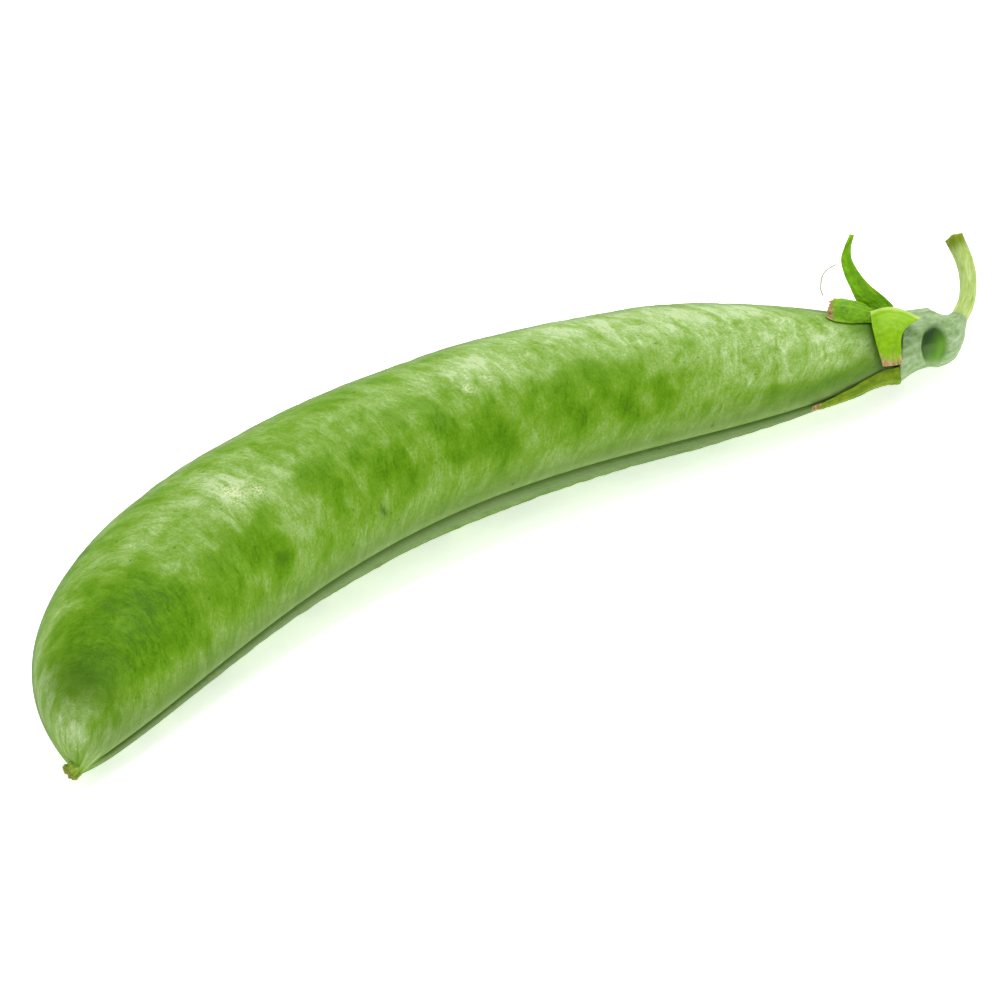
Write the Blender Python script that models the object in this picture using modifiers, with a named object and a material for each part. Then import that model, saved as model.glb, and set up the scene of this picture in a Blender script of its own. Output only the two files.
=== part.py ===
"""A fresh garden pea pod, as picked: a closed plump pod lying on its side, with the dried stub of
its style at the tip, and at the other end the calyx cup, its five sepals, one withered stamen
thread and a short hooked stalk.

Everything is laid out in millimetres on a plan of the pod seen from above, and made in metres.
The plan has the tip of the pod at x = 0, the neck at x = 80, the convex back towards +Y and the
plane through both seams at z = 0. At the end an empty tips the whole pod into the pose it rests in
and carries it to its own frame, whose origin is the bottom centre of its bounding box.
"""
import math

import bmesh
import bpy
from mathutils import Euler, Vector
from mathutils.bvhtree import BVHTree

MM = 0.001

# The two seams, drawn in plan from the neck to the tip as Bezier curves.
BELLY_SEAM = [(80.0, -2.1), (60.0, -4.4), (42.0, 16.1), (20.0, 1.7), (0.0, 0.0)]
BACK_SEAM = [(80.6, 2.1), (66.0, 20.8), (50.0, 18.6), (28.0, 25.6), (6.0, 27.1), (-0.8, 9.8), (0.0, 1.1)]

# How thick the pod is along its length, and the lens shape of its sections.
BODY_HALF_THICKNESS = 7.3
SEAM_HALF_THICKNESS = 0.35
NECK_HALF_THICKNESS = 1.5
NECK_FADE = 12
NECK_FULLNESS = 3.1
NECK_ROUNDING = 0.8
TIP_FULLNESS = 3.5
TIP_ROUNDING = 0.7
LENS_POWER = 2.1
LENS_EDGE = 0.56
PEA_COUNT = 9
PEA_BULGE = 0.015
POD_SECTIONS = 64
POD_SIDES = 32
SEAM_STEPS = 400

# The pod rests rolled towards its belly, and is pressed flat by this much where it touches the floor.
REST_ROLL = 17.0
REST_PITCH = -1.0
REST_FLAT_DEPTH = 0.2

# The neck goes on as a short stump into the calyx cup.
NECK_STUMP_LENGTH = 2.8
NECK_STUMP_STEPS = 4
NECK_STUMP_END = 0.62

# The stub of the style, past the tip.
STYLE_START = (-0.12, 0.55, 0.0)
STYLE_END = (-0.8, 0.5, 0.0)
STYLE_HALF_WIDTH = 0.8
STYLE_HALF_HEIGHT = 0.55
STYLE_PROFILE = ((0.0, 0.8), (0.25, 1.0), (0.6, 0.95), (0.85, 0.8), (1.0, 0.45))
STYLE_SIDES = 12

# One line runs down the middle of the calyx cup and on along the stalk.
STALK_LINE = [(81.0, -0.15, 0.0), (82.7, -0.8, 0.0), (84.05, -1.35, 0.1), (85.4, -1.3, 0.3),
              (86.8, -0.65, 0.5), (88.0, 0.2, 0.7), (89.2, 1.6, 1.0), (90.0, 3.2, 1.45), (90.5, 5.3, 2.1)]
STALK_STEPS = 8
STALK_RADIUS = 0.7
STALK_END_RADIUS = 0.78
STALK_POINTS = 14
STALK_FLARE = 3
STALK_GAP = 0.15

# The calyx cup: its radius towards the back seam and towards the belly seam, by the distance from
# its rim along the line. The slant is how far the rim is drawn out over the pod at the belly seam.
CUP_LENGTH = 5.5
CUP_BACK_RADIUS = [(0.0, 2.62), (0.9, 2.55), (1.8, 2.5), (2.8, 2.42), (3.6, 2.1), (4.3, 1.5), (5.0, 0.95),
                   (5.8, 0.72)]
CUP_BELLY_RADIUS = [(0.0, 2.7), (0.9, 2.4), (1.8, 2.35), (2.6, 2.65), (3.4, 2.45), (4.2, 1.7), (5.0, 1.0),
                    (5.8, 0.72)]
CUP_FLATTENING = 0.95
CUP_SLANT = (-1.5, -0.4, 0.0)
CUP_SLANT_POWER = 3
CUP_SLANT_LENGTH = 2.6
CUP_WALL = 0.4
CUP_DEPTH = 3.0
CUP_FLOOR_INSET = 0.75
CUP_STATIONS = (5.5, 5.1, 4.7, 4.3, 3.9, 3.5, 3.1, 2.6, 2.1, 1.5, 0.8, 0.0)
CUP_SIDES = 28

# Sepals: rows of points across each blade, from its base on the cup to its tip.
SEPAL_THICKNESS = 0.3
SEPAL_GRIDS = {
    "sepal_upright": [
        [(81.5, 1.75, 2.35), (80.6, 2.35, 1.95), (79.55, 2.95, 1.6)],
        [(81.25, 2.67, 2.76), (80.4, 3.05, 2.25), (79.4, 3.5, 1.95)],
        [(80.67, 3.92, 3.44), (79.95, 4.1, 2.95), (79.2, 4.2, 2.8)],
        [(80.46, 5.22, 4.0), (79.95, 5.45, 3.7), (79.35, 5.55, 3.68)],
        [(80.51, 6.36, 4.58), (80.17, 6.67, 4.42), (79.71, 6.81, 4.5)],
        [(81.02, 7.21, 5.02), (80.84, 7.43, 4.97), (80.6, 7.55, 5.06)],
        [(81.78, 7.8, 5.6), (81.62, 7.9, 5.6), (81.48, 8.02, 5.68)],
    ],
    "sepal_back": [
        [(80.1, 1.9, 1.9), (79.9, 1.4, 2.3), (79.6, 0.7, 2.4)],
        [(79.4, 3.2, 2.7), (78.9, 2.3, 2.75), (78.5, 1.4, 2.5)],
        [(78.6, 4.3, 2.7), (78.0, 3.2, 3.0), (77.3, 2.0, 2.6)],
        [(78.0, 4.9, 2.8), (77.2, 3.8, 3.1), (76.4, 2.6, 2.65)],
        [(77.4, 5.3, 2.6), (76.6, 4.4, 2.9), (75.8, 3.4, 2.5)],
    ],
    "sepal_front": [
        [(82.0, -1.2, 3.15), (80.55, -1.3, 3.15), (79.55, -1.75, 2.7), (78.8, -2.95, 1.25)],
        [(80.85, 1.1, 3.2), (79.7, -0.05, 3.3), (78.85, -1.35, 2.75), (78.35, -2.8, 1.15)],
        [(79.1, 1.9, 3.1), (78.1, 0.3, 3.2), (77.55, -1.05, 2.6), (77.3, -2.35, 1.25)],
    ],
    "sepal_belly": [
        [(78.5, -3.25, 0.65), (78.35, -3.55, 0.0), (78.3, -3.25, -0.7)],
        [(76.9, -2.45, 0.85), (76.8, -2.85, 0.15), (76.7, -2.6, -0.6)],
        [(74.1, -2.35, 0.65), (73.95, -2.65, 0.1), (73.85, -2.45, -0.5)],
        [(71.75, -2.15, 0.4), (71.6, -2.3, 0.1), (71.58, -2.2, -0.2)],
        [(70.3, -2.0, 0.45), (70.25, -2.1, 0.2), (70.3, -2.0, -0.05)],
    ],
    "sepal_under": [
        [(80.2, -0.5, -2.6), (80.3, 0.4, -2.75), (80.4, 1.3, -2.4)],
        [(79.0, 0.0, -2.7), (79.3, 1.0, -2.85), (79.6, 1.9, -2.5)],
        [(77.1, 0.7, -2.95), (77.4, 1.6, -3.05), (77.7, 2.5, -2.8)],
        [(75.4, 1.5, -3.3), (75.6, 2.1, -3.35), (75.8, 2.7, -3.3)],
        [(74.4, 2.1, -3.5), (74.5, 2.35, -3.55), (74.6, 2.6, -3.5)],
    ],
}
SEPAL_ROWS = 12
SEPAL_COLUMNS = 6
CUP_CLEARANCE = 0.22
POD_CLEARANCE = 0.32
INSIDE_COSINE = -0.7

# The withered stamen thread: it clings by its end to the tip of the sepal on the back seam.
THREAD_RADIUS = 0.13
THREAD_LINE = [(77.0, 5.55, 3.1), (77.1, 6.1, 3.5), (77.6, 6.6, 4.0), (78.2, 6.7, 4.5), (78.9, 6.5, 4.9)]
THREAD_STEPS = 3
ROD_ROUNDNESS = 3

# Linear colour, roughness
FINISHES = {
    "pod": ((0.235, 0.400, 0.085), 0.40),
    "style": ((0.170, 0.190, 0.035), 0.70),
    "cup": ((0.160, 0.270, 0.070), 0.50),
    "sepal": ((0.160, 0.360, 0.020), 0.55),
    "stalk": ((0.400, 0.500, 0.150), 0.55),
    "thread": ((0.600, 0.560, 0.420), 0.80),
}


def clear_scene():
    for scene_object in list(bpy.data.objects):
        bpy.data.objects.remove(scene_object, do_unlink=True)


def bezier(points, amount):
    """The point of a Bezier curve at amount, from 0 to 1."""
    row = [Vector(point) for point in points]
    while len(row) > 1:
        row = [first.lerp(second, amount) for first, second in zip(row, row[1:])]
    return row[0]


def smooth_line(points, steps):
    """A curve through every point (Catmull-Rom), with the given steps from each to the next."""
    points = [Vector(point) for point in points]
    padded = [2 * points[0] - points[1]] + points + [2 * points[-1] - points[-2]]
    line = []
    for before, start, end, after in zip(padded, padded[1:], padded[2:], padded[3:]):
        for step in range(steps):
            t = step / steps
            line.append(0.5 * (2 * start + (end - before) * t
                               + (2 * before - 5 * start + 4 * end - after) * t ** 2
                               + (3 * start - before - 3 * end + after) * t ** 3))
    return line + [points[-1]]


def line_length(line):
    return sum((second - first).length for first, second in zip(line, line[1:]))


def walk(line, distance):
    """The point and the direction at a distance along a line of points."""
    for first, second in zip(line, line[1:]):
        step = (second - first).length
        if distance <= step:
            break
        distance -= step
    direction = (second - first).normalized()
    return first + direction * distance, direction


def stretch(line, start, end, count):
    """count points, evenly spaced, from start to end along a line of points."""
    return [walk(line, start + (end - start) * index / (count - 1))[0] for index in range(count)]


def half_thickness(along):
    """Half the pod's thickness, from 0 at the neck to 1 at the tip, with a faint swell at each pea."""
    neck_rise = (1.0 - (1.0 - along) ** NECK_FULLNESS) ** NECK_ROUNDING
    tip_fall = (1.0 - along ** TIP_FULLNESS) ** TIP_ROUNDING
    peas = 1.0 + PEA_BULGE * math.cos(2.0 * math.pi * PEA_COUNT * along) * neck_rise * tip_fall
    neck = NECK_HALF_THICKNESS * (1.0 - along) ** NECK_FADE
    return SEAM_HALF_THICKNESS + BODY_HALF_THICKNESS * neck_rise * tip_fall * peas + neck


def lens_ring(belly, back, half):
    """One section of the pod: a lens between its two seams."""
    centre = (belly + back) / 2.0
    reach = (back - belly) / 2.0
    ring = []
    for side in range(POD_SIDES):
        angle = 2.0 * math.pi * side / POD_SIDES
        across = math.cos(angle)
        lift = max(0.0, 1.0 - abs(across) ** LENS_POWER) ** LENS_EDGE
        height = math.copysign(lift, math.sin(angle)) * half
        point = centre + reach * across
        ring.append(Vector((point.x, point.y, height)))
    return ring


def resting_turn():
    """The turn from the plan to the pose the pod rests in."""
    return Euler((math.radians(REST_ROLL), math.radians(REST_PITCH), 0.0))


def press_flat(rings):
    """Lift the lowest points, as the pod rests, to one level plane."""
    up = resting_turn().to_matrix().transposed() @ Vector((0.0, 0.0, 1.0))
    floor = min(point.dot(up) for ring in rings for point in ring) + REST_FLAT_DEPTH
    return [[point + up * max(0.0, floor - point.dot(up)) for point in ring] for ring in rings]


def pod_rings():
    """Sections from the end of the stump, inside the calyx cup, to the tip."""
    belly_points, back_points = [
        stretch(line, 0.0, line_length(line), POD_SECTIONS + 1)
        for line in ([bezier(seam, step / SEAM_STEPS) for step in range(SEAM_STEPS + 1)]
                     for seam in (BELLY_SEAM, BACK_SEAM))]
    rings = [lens_ring(belly, back, half_thickness(index / POD_SECTIONS))
             for index, (belly, back) in enumerate(zip(belly_points, back_points))]

    inward = (Vector(STALK_LINE[1]) - Vector(STALK_LINE[0])).normalized()
    neck_centre = sum(rings[0], Vector()) / POD_SIDES
    stump = []
    for step in range(NECK_STUMP_STEPS, 0, -1):
        amount = step / NECK_STUMP_STEPS
        size = 1.0 + (NECK_STUMP_END - 1.0) * amount
        shift = neck_centre + inward * NECK_STUMP_LENGTH * amount
        stump.append([shift + (point - neck_centre) * size for point in rings[0]])
    return press_flat(stump + rings)


def at_distance(table, distance):
    """The value of a table of (distance, value) pairs, straight from one pair to the next."""
    for (start, first), (end, second) in zip(table, table[1:]):
        if distance <= end:
            return first + (second - first) * (distance - start) / (end - start)
    return table[-1][1]


def cup_ring(line, distance, inset):
    """A section of the cup, square to its middle line and inset from its outer wall."""
    centre, direction = walk(line, distance)
    sideways = Vector((0, 0, 1)).cross(direction).normalized()
    upward = direction.cross(sideways)
    slant = Vector(CUP_SLANT) * max(0.0, 1.0 - distance / CUP_SLANT_LENGTH) ** 2
    back_radius = at_distance(CUP_BACK_RADIUS, distance)
    belly_radius = at_distance(CUP_BELLY_RADIUS, distance)
    ring = []
    for side in range(CUP_SIDES):
        angle = 2.0 * math.pi * side / CUP_SIDES
        towards_belly = 0.5 - 0.5 * math.cos(angle)
        radius = back_radius + (belly_radius - back_radius) * towards_belly - inset
        around = sideways * math.cos(angle) + upward * CUP_FLATTENING * math.sin(angle)
        ring.append(centre + around * radius + slant * towards_belly ** CUP_SLANT_POWER)
    return ring


def cup_outside():
    line = smooth_line(STALK_LINE, STALK_STEPS)
    return [cup_ring(line, distance, 0.0) for distance in CUP_STATIONS]


def cup_rings():
    """Down the outside from the stalk to the rim, then in over the rim to the floor of the cup."""
    line = smooth_line(STALK_LINE, STALK_STEPS)
    rim = cup_ring(line, 0.0, CUP_WALL)
    cup_floor = cup_ring(line, CUP_DEPTH, CUP_FLOOR_INSET)
    return cup_outside() + [rim, cup_floor]


def style_rings():
    """The blunt stub: an oval rod that narrows a little towards its broken end."""
    start = Vector(STYLE_START)
    end = Vector(STYLE_END)
    sideways = Vector((0, 0, 1)).cross((end - start).normalized())
    rings = []
    for amount, size in STYLE_PROFILE:
        centre = start.lerp(end, amount)
        angles = [2.0 * math.pi * side / STYLE_SIDES for side in range(STYLE_SIDES)]
        rings.append([centre + sideways * STYLE_HALF_WIDTH * size * math.cos(angle)
                      + Vector((0, 0, STYLE_HALF_HEIGHT * size * math.sin(angle))) for angle in angles])
    return rings


def sepal_rows(grid):
    """A smooth blade through a sepal's few rows of points."""
    across = [smooth_line(row, SEPAL_COLUMNS // (len(row) - 1)) for row in grid]
    along = [smooth_line(column, SEPAL_ROWS // (len(grid) - 1)) for column in zip(*across)]
    return [list(row) for row in zip(*along)]


def keep_off(rows, surface, clearance):
    """Lay a sepal on a solid: points inside it, or too near, move out to the clearance."""
    kept = []
    for row in rows:
        kept_row = []
        for point in row:
            nearest, normal, _, _ = surface.find_nearest(point)
            offset = point - nearest
            inside = offset.dot(normal) < INSIDE_COSINE * offset.length
            if inside or offset.length < clearance:
                point = nearest + normal * clearance
            kept_row.append(point)
        kept.append(kept_row)
    return kept


def make_material(name):
    colour, roughness = FINISHES[name]
    material = bpy.data.materials.new(name)
    material.use_nodes = True
    shader = material.node_tree.nodes["Principled BSDF"]
    shader.inputs["Base Color"].default_value = (*colour, 1.0)
    shader.inputs["Roughness"].default_value = roughness
    shader.inputs["Metallic"].default_value = 0.0
    material.diffuse_color = (*colour, 1.0)
    return material


def add_object(name, data, finish, collection, parent):
    part = bpy.data.objects.new(name, data)
    part.data.materials.append(make_material(finish))
    part.parent = parent
    collection.objects.link(part)
    return part


def mesh_from_bmesh(name, shape):
    mesh = bpy.data.meshes.new(name)
    shape.to_mesh(mesh)
    shape.free()
    mesh.shade_smooth()
    return mesh


def loft_shape(rings, scale):
    """A closed solid through a row of rings with the same number of points, capped at both ends."""
    shape = bmesh.new()
    levels = [[shape.verts.new(point * scale) for point in ring] for ring in rings]
    for level, following in zip(levels, levels[1:]):
        for side in range(len(level)):
            turned = (side + 1) % len(level)
            shape.faces.new((level[side], level[turned], following[turned], following[side]))
    shape.faces.new(levels[0][::-1])
    shape.faces.new(levels[-1])
    bmesh.ops.recalc_face_normals(shape, faces=shape.faces)
    return shape


def loft(name, rings):
    return mesh_from_bmesh(name, loft_shape(rings, MM))


def sheet(name, rows):
    """An open surface through rows of points."""
    shape = bmesh.new()
    levels = [[shape.verts.new(point * MM) for point in row] for row in rows]
    for level, following in zip(levels, levels[1:]):
        for column in range(len(level) - 1):
            shape.faces.new((level[column], level[column + 1], following[column + 1], following[column]))
    bmesh.ops.recalc_face_normals(shape, faces=shape.faces)
    return mesh_from_bmesh(name, shape)


def rod(name, points, radii):
    """A round rod along a line of points, with a radius at each."""
    curve = bpy.data.curves.new(name, "CURVE")
    curve.dimensions = "3D"
    curve.bevel_depth = MM
    curve.bevel_resolution = ROD_ROUNDNESS
    curve.use_fill_caps = True
    spline = curve.splines.new("POLY")
    spline.points.add(len(points) - 1)
    for spline_point, point, radius in zip(spline.points, points, radii):
        spline_point.co = (*(point * MM), 1.0)
        spline_point.radius = radius
    return curve


def stalk_points():
    line = smooth_line(STALK_LINE, STALK_STEPS)
    return stretch(line, CUP_LENGTH + STALK_GAP, line_length(line), STALK_POINTS)


def stand_on_floor(anchor, parts):
    """Move the anchor so that the origin is the bottom centre of everything's bounding box."""
    depsgraph = bpy.context.evaluated_depsgraph_get()
    points = []
    for part in parts:
        evaluated = part.evaluated_get(depsgraph)
        mesh = evaluated.to_mesh()
        points += [evaluated.matrix_world @ vertex.co for vertex in mesh.vertices]
        evaluated.to_mesh_clear()
    low = [min(point[axis] for point in points) for axis in range(3)]
    high = [max(point[axis] for point in points) for axis in range(3)]
    anchor.location = (-(low[0] + high[0]) / 2.0, -(low[1] + high[1]) / 2.0, -low[2])


def build():
    clear_scene()
    collection = bpy.data.collections.new("pea_pod")
    bpy.context.scene.collection.children.link(collection)
    anchor = bpy.data.objects.new("pea_pod_anchor", None)
    anchor.rotation_euler = resting_turn()
    collection.objects.link(anchor)

    parts = [
        add_object("pod", loft("pod", pod_rings()), "pod", collection, anchor),
        add_object("style_stub", loft("style_stub", style_rings()), "style", collection, anchor),
        add_object("calyx_cup", loft("calyx_cup", cup_rings()), "cup", collection, anchor),
    ]
    cup_solid = BVHTree.FromBMesh(loft_shape(cup_outside(), 1.0))
    pod_solid = BVHTree.FromBMesh(loft_shape(pod_rings(), 1.0))
    for name, grid in SEPAL_GRIDS.items():
        rows = keep_off(sepal_rows(grid), cup_solid, CUP_CLEARANCE)
        rows = keep_off(rows, pod_solid, POD_CLEARANCE)
        sepal = add_object(name, sheet(name, rows), "sepal", collection, anchor)
        solidify = sepal.modifiers.new("thickness", "SOLIDIFY")
        solidify.thickness = SEPAL_THICKNESS * MM
        solidify.offset = 0.0
        parts.append(sepal)

    stalk = stalk_points()
    radii = [STALK_RADIUS + (STALK_END_RADIUS - STALK_RADIUS) * (index / (len(stalk) - 1)) ** STALK_FLARE
             for index in range(len(stalk))]
    parts.append(add_object("stalk", rod("stalk", stalk, radii), "stalk", collection, anchor))
    thread = smooth_line(THREAD_LINE, THREAD_STEPS)
    parts.append(add_object("stamen_thread", rod("stamen_thread", thread, [THREAD_RADIUS] * len(thread)),
                            "thread", collection, anchor))
    bpy.context.view_layer.update()
    stand_on_floor(anchor, parts)


build()
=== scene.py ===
"""The looks of the pea pod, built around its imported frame.

Shapes are worked out in millimetres on the same plan as the CAD: the pod's tip at x = 0, its neck at
x = 80, its convex back towards +Y and both seams in the plane z = 0. to_row() carries them to the
frame's own pose and metres.
"""

import math
from types import SimpleNamespace

import bmesh
import bpy
import numpy as np
from mathutils import Euler, Matrix, Vector, noise
from mathutils.bvhtree import BVHTree


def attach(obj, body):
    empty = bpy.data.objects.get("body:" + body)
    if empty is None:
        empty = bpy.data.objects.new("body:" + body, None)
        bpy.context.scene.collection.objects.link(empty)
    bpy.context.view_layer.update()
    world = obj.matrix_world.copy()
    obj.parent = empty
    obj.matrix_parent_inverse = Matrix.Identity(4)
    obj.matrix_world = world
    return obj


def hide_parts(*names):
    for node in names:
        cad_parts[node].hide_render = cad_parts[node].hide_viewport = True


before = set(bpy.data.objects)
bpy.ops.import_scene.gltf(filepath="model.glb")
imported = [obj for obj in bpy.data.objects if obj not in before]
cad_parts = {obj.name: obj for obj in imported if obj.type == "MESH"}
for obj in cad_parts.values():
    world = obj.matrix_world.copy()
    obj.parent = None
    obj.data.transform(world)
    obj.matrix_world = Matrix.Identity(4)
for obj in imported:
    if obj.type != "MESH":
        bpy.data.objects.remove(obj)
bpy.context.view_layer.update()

MM = 0.001

# ---- The plan's place in the frame: the resting pose, then the move of the origin to the floor.
REST_ROLL = 17.0
REST_PITCH = -1.0
PLAN_ORIGIN = (-45.1395, -8.5864, 2.0025)
REST = np.array(Euler((math.radians(REST_ROLL), math.radians(REST_PITCH), 0.0)).to_matrix())
UP = REST.T @ np.array((0.0, 0.0, 1.0))

# ---- The camera, placed on the plan: it rests with the pod.
CAMERA_TARGET = (43.65, 4.62, 0.0)
CAMERA_AZIMUTH = -35.114
CAMERA_ELEVATION = 48.049
CAMERA_DISTANCE = 599.5
CAMERA_LENS = 265.75
CAMERA_SENSOR = 36.0
CAMERA_CLIP = (0.01, 50.0)

# ---- The pod, as in the CAD.
BELLY_SEAM = [(80.0, -2.1), (60.0, -4.4), (42.0, 16.1), (20.0, 1.7), (0.0, 0.0)]
BACK_SEAM = [(80.6, 2.1), (66.0, 20.8), (50.0, 18.6), (28.0, 25.6), (6.0, 27.1), (-0.8, 9.8), (0.0, 1.1)]
BODY_HALF_THICKNESS = 7.3
SEAM_HALF_THICKNESS = 0.35
NECK_HALF_THICKNESS = 1.5
NECK_FADE = 12
NECK_FULLNESS = 3.1
NECK_ROUNDING = 0.8
TIP_FULLNESS = 3.5
TIP_ROUNDING = 0.7
LENS_POWER = 2.1
LENS_EDGE = 0.56
SEAM_STEPS = 800
NECK_STUMP_LENGTH = 1.6
NECK_STUMP_END = 0.8
STUMP_RINGS = 10
POD_RINGS = 430
POD_SIDES = 168

# ---- The pod's surface detail, in millimetres. Veins fade out near the seams, between the distances of
# SEAM_MARGIN, and all detail where the pod narrows, between the widths of ROOM_WIDTHS.
PEA_PLACES = (0.13, 0.225, 0.32, 0.415, 0.51, 0.60, 0.69, 0.78, 0.865)
PEA_SWELL = 0.22
PEA_LENGTH = 3.0
PEA_WIDTH = 3.6
PEA_ACROSS = 0.55
VEIN_ARCH = 5.5
VEIN_SPACING = 0.95
VEIN_LENGTH = 4.5
VEIN_HEIGHT = 0.05
FINE_VEIN_SPACING = VEIN_SPACING * 0.45
FINE_VEIN_LENGTH = VEIN_LENGTH * 0.6
FINE_VEIN_HEIGHT = 0.4 * VEIN_HEIGHT
RIPPLE_SIZE = 7.0
RIPPLE_HEIGHT = 0.14
DIMPLE_SIZE = 1.6
DIMPLE_HEIGHT = 0.035
GROOVE_DEPTH = 0.24
GROOVE_WIDTH = 0.17
RIB_OFFSET = 0.72
RIB_HEIGHT = 0.13
RIB_WIDTH = 0.34
KEEL_HEIGHT = 0.05
KEEL_WIDTH = 0.34
CYLINDER_RADIUS = 7.0
SEAM_MARGIN = (0.8, 3.0)
ROOM_WIDTHS = (1.5, 9.0)

# ---- Marks on the face that is up: the distance from the neck along the pod, the place across it from
# 0 at the back seam to 1 at the belly seam, the length and width in millimetres, and the strength.
# Darker patches where the wax is worn off; the first, at the neck, is painted shade from the sepals.
RUBBED_AND_SHADE_PATCHES = [
    (1.5, 0.3, 3.5, 3.0, 1.1), (7.0, 0.9, 8.0, 1.1, 0.9), (22.6, 0.76, 2.4, 2.4, 0.8),
    (26.2, 0.78, 2.4, 2.6, 0.9), (27.4, 0.64, 1.8, 2.6, 0.8), (30.6, 0.74, 2.8, 3.2, 1.0),
    (38.4, 0.77, 3.2, 3.2, 1.0), (41.5, 0.66, 2.8, 3.6, 1.0), (44.0, 0.3, 9.0, 2.4, 0.5),
    (48.0, 0.70, 2.6, 3.2, 1.0), (53.8, 0.67, 2.2, 3.4, 0.9), (61.4, 0.72, 2.4, 2.8, 1.0),
    (62.0, 0.25, 8.0, 2.6, 0.45), (65.4, 0.69, 2.2, 2.6, 0.9), (68.0, 0.12, 2.5, 1.6, 0.6),
    (72.5, 0.6, 3.6, 5.0, 1.5), (76.0, 0.66, 3.4, 3.4, 1.3), (77.0, 0.45, 3.4, 4.6, 1.5),
    (79.5, 0.42, 1.8, 2.6, 1.2),
]
# Pale patches of wax; those nearer the neck are also a painted sheen, the lamp's soft highlight.
BLOOM_AND_SHEEN_PATCHES = [
    (8.5, 0.63, 5.5, 2.8, 1.0), (13.0, 0.54, 7.0, 5.0, 0.7), (13.0, 0.72, 3.5, 3.0, 0.5),
    (15.0, 0.36, 8.0, 3.4, 1.1), (24.0, 0.38, 8.0, 3.6, 1.2), (35.0, 0.44, 8.0, 3.4, 1.0),
    (57.5, 0.72, 2.5, 2.0, 0.7), (59.0, 0.47, 4.5, 3.4, 1.1), (66.5, 0.40, 4.0, 3.0, 0.5),
    (80.0, 0.2, 5.0, 2.4, 0.7), (84.0, 0.6, 2.4, 4.0, 0.9),
]
# Dull dark patches: a mark by the tip, and at the neck painted shade beside and under the sepals.
DULL_AND_SHADE_PATCHES = [(80.4, 0.45, 2.6, 3.6, 0.62), (1.3, 0.5, 2.3, 6.0, 0.8), (3.2, 0.14, 3.6, 1.9, 0.75)]
SCARS = [(59.4, 0.5, 0.9, 1.1, 1.0), (57.9, 0.55, 0.5, 0.7, 0.9), (37.6, 0.55, 0.35, 0.5, 0.9),
         (35.5, 0.53, 0.3, 0.45, 0.8)]
NICKS = [(50.7, 0.85, 0.25, 0.5, 0.8)]
FAR_FACE_SHIFT = 3.7

# ---- Marks along the seams. A worn band has its place across the pod, its width and its strength.
# The painted shade by the belly seam is deeper on the face that is down and fades in between two
# distances from it.
BELLY_BAND = (0.68, 0.22, 0.44)
BELLY_BAND_START = (14.0, 26.0)
BACK_BAND = (0.1, 0.1, 0.4)
UNDER_FADE = (3.4, 0.8)
UNDER_SHADE_UP = 0.4
UNDER_SHADE_DOWN = 0.8
KEEL_SHADE = 0.7
RIB_HIGHLIGHT = 0.5

# ---- The middle line of the calyx cup and the stalk, as in the CAD, and the stalk round it. Its ridges
# have a height, a number, a turn and a twist for each millimetre, and its lips a size and a depth.
STALK_LINE = [(81.0, -0.15, 0.0), (82.7, -0.8, 0.0), (84.05, -1.35, 0.1), (85.4, -1.3, 0.3),
              (86.8, -0.65, 0.5), (88.0, 0.2, 0.7), (89.2, 1.6, 1.0), (90.0, 3.2, 1.45), (90.5, 5.3, 2.1)]
STALK_STEPS = 12
STALK_RADIUS = 0.70
STALK_END_RADIUS = 0.78
STALK_RINGS = 90
STALK_SIDES = 48
STALK_INSET = 0.35
STALK_RIDGES = [(0.035, 5, 0.6, 0.0), (0.02, 9, 0.0, 2.0)]
STALK_PITS = 0.03
STALK_PIT_SIZE = 0.9
STALK_CUT_FADE = (1.7, 0.5)
STALK_TEAR = 0.14
STALK_TEAR_LENGTH = 0.35
STALK_TEAR_SIZE = (0.35, 0.35, 0.6)
STALK_LIPS = [(0.82, 0.05), (0.45, 0.12)]

# ---- The calyx cup: its radius towards the back seam and towards the belly seam, by the distance
# along its middle line, and the oval hollow in the side that faces the camera.
CUP_BACK_RADIUS = [(0.0, 2.62), (0.9, 2.55), (1.8, 2.5), (2.8, 2.42), (3.6, 2.1), (4.3, 1.5), (5.0, 0.95),
                   (5.8, 0.72)]
CUP_BELLY_RADIUS = [(0.0, 2.7), (0.9, 2.4), (1.8, 2.35), (2.6, 2.65), (3.4, 2.45), (4.2, 1.7), (5.0, 1.0),
                    (5.8, 0.72)]
CUP_FLATTENING = 0.95
CUP_LENGTH = 5.6
CUP_RINGS = 70
CUP_SIDES = 112
CUP_SMOOTHING = 6
CUP_SLANT = (-1.5, -0.4, 0.0)
CUP_SLANT_POWER = 3
CUP_SLANT_LENGTH = 2.6
CUP_WALL = 0.3
CUP_DEPTH = 1.3
CUP_INNER_RINGS = 8
CUP_INNER_TAPER = 0.25
CUP_RIBS = 10
CUP_RIB_HEIGHT = 0.045
CUP_RIB_FADE = (0.3, 2.5)
CUP_PITS = 0.03
CUP_PIT_SIZE = 0.55
# The hollow is dented a little and coloured with painted shade, lighter towards its lower right.
HOLLOW_CENTRE = (82.1, -3.1, 1.5)
HOLLOW_HALF_WIDTH = 1.1
HOLLOW_HALF_HEIGHT = 1.7
HOLLOW_DEPTH = 0.35
HOLLOW_EDGE = (1.08, 0.86)
HOLLOW_REACH = (-2.0, -1.0)

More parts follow.
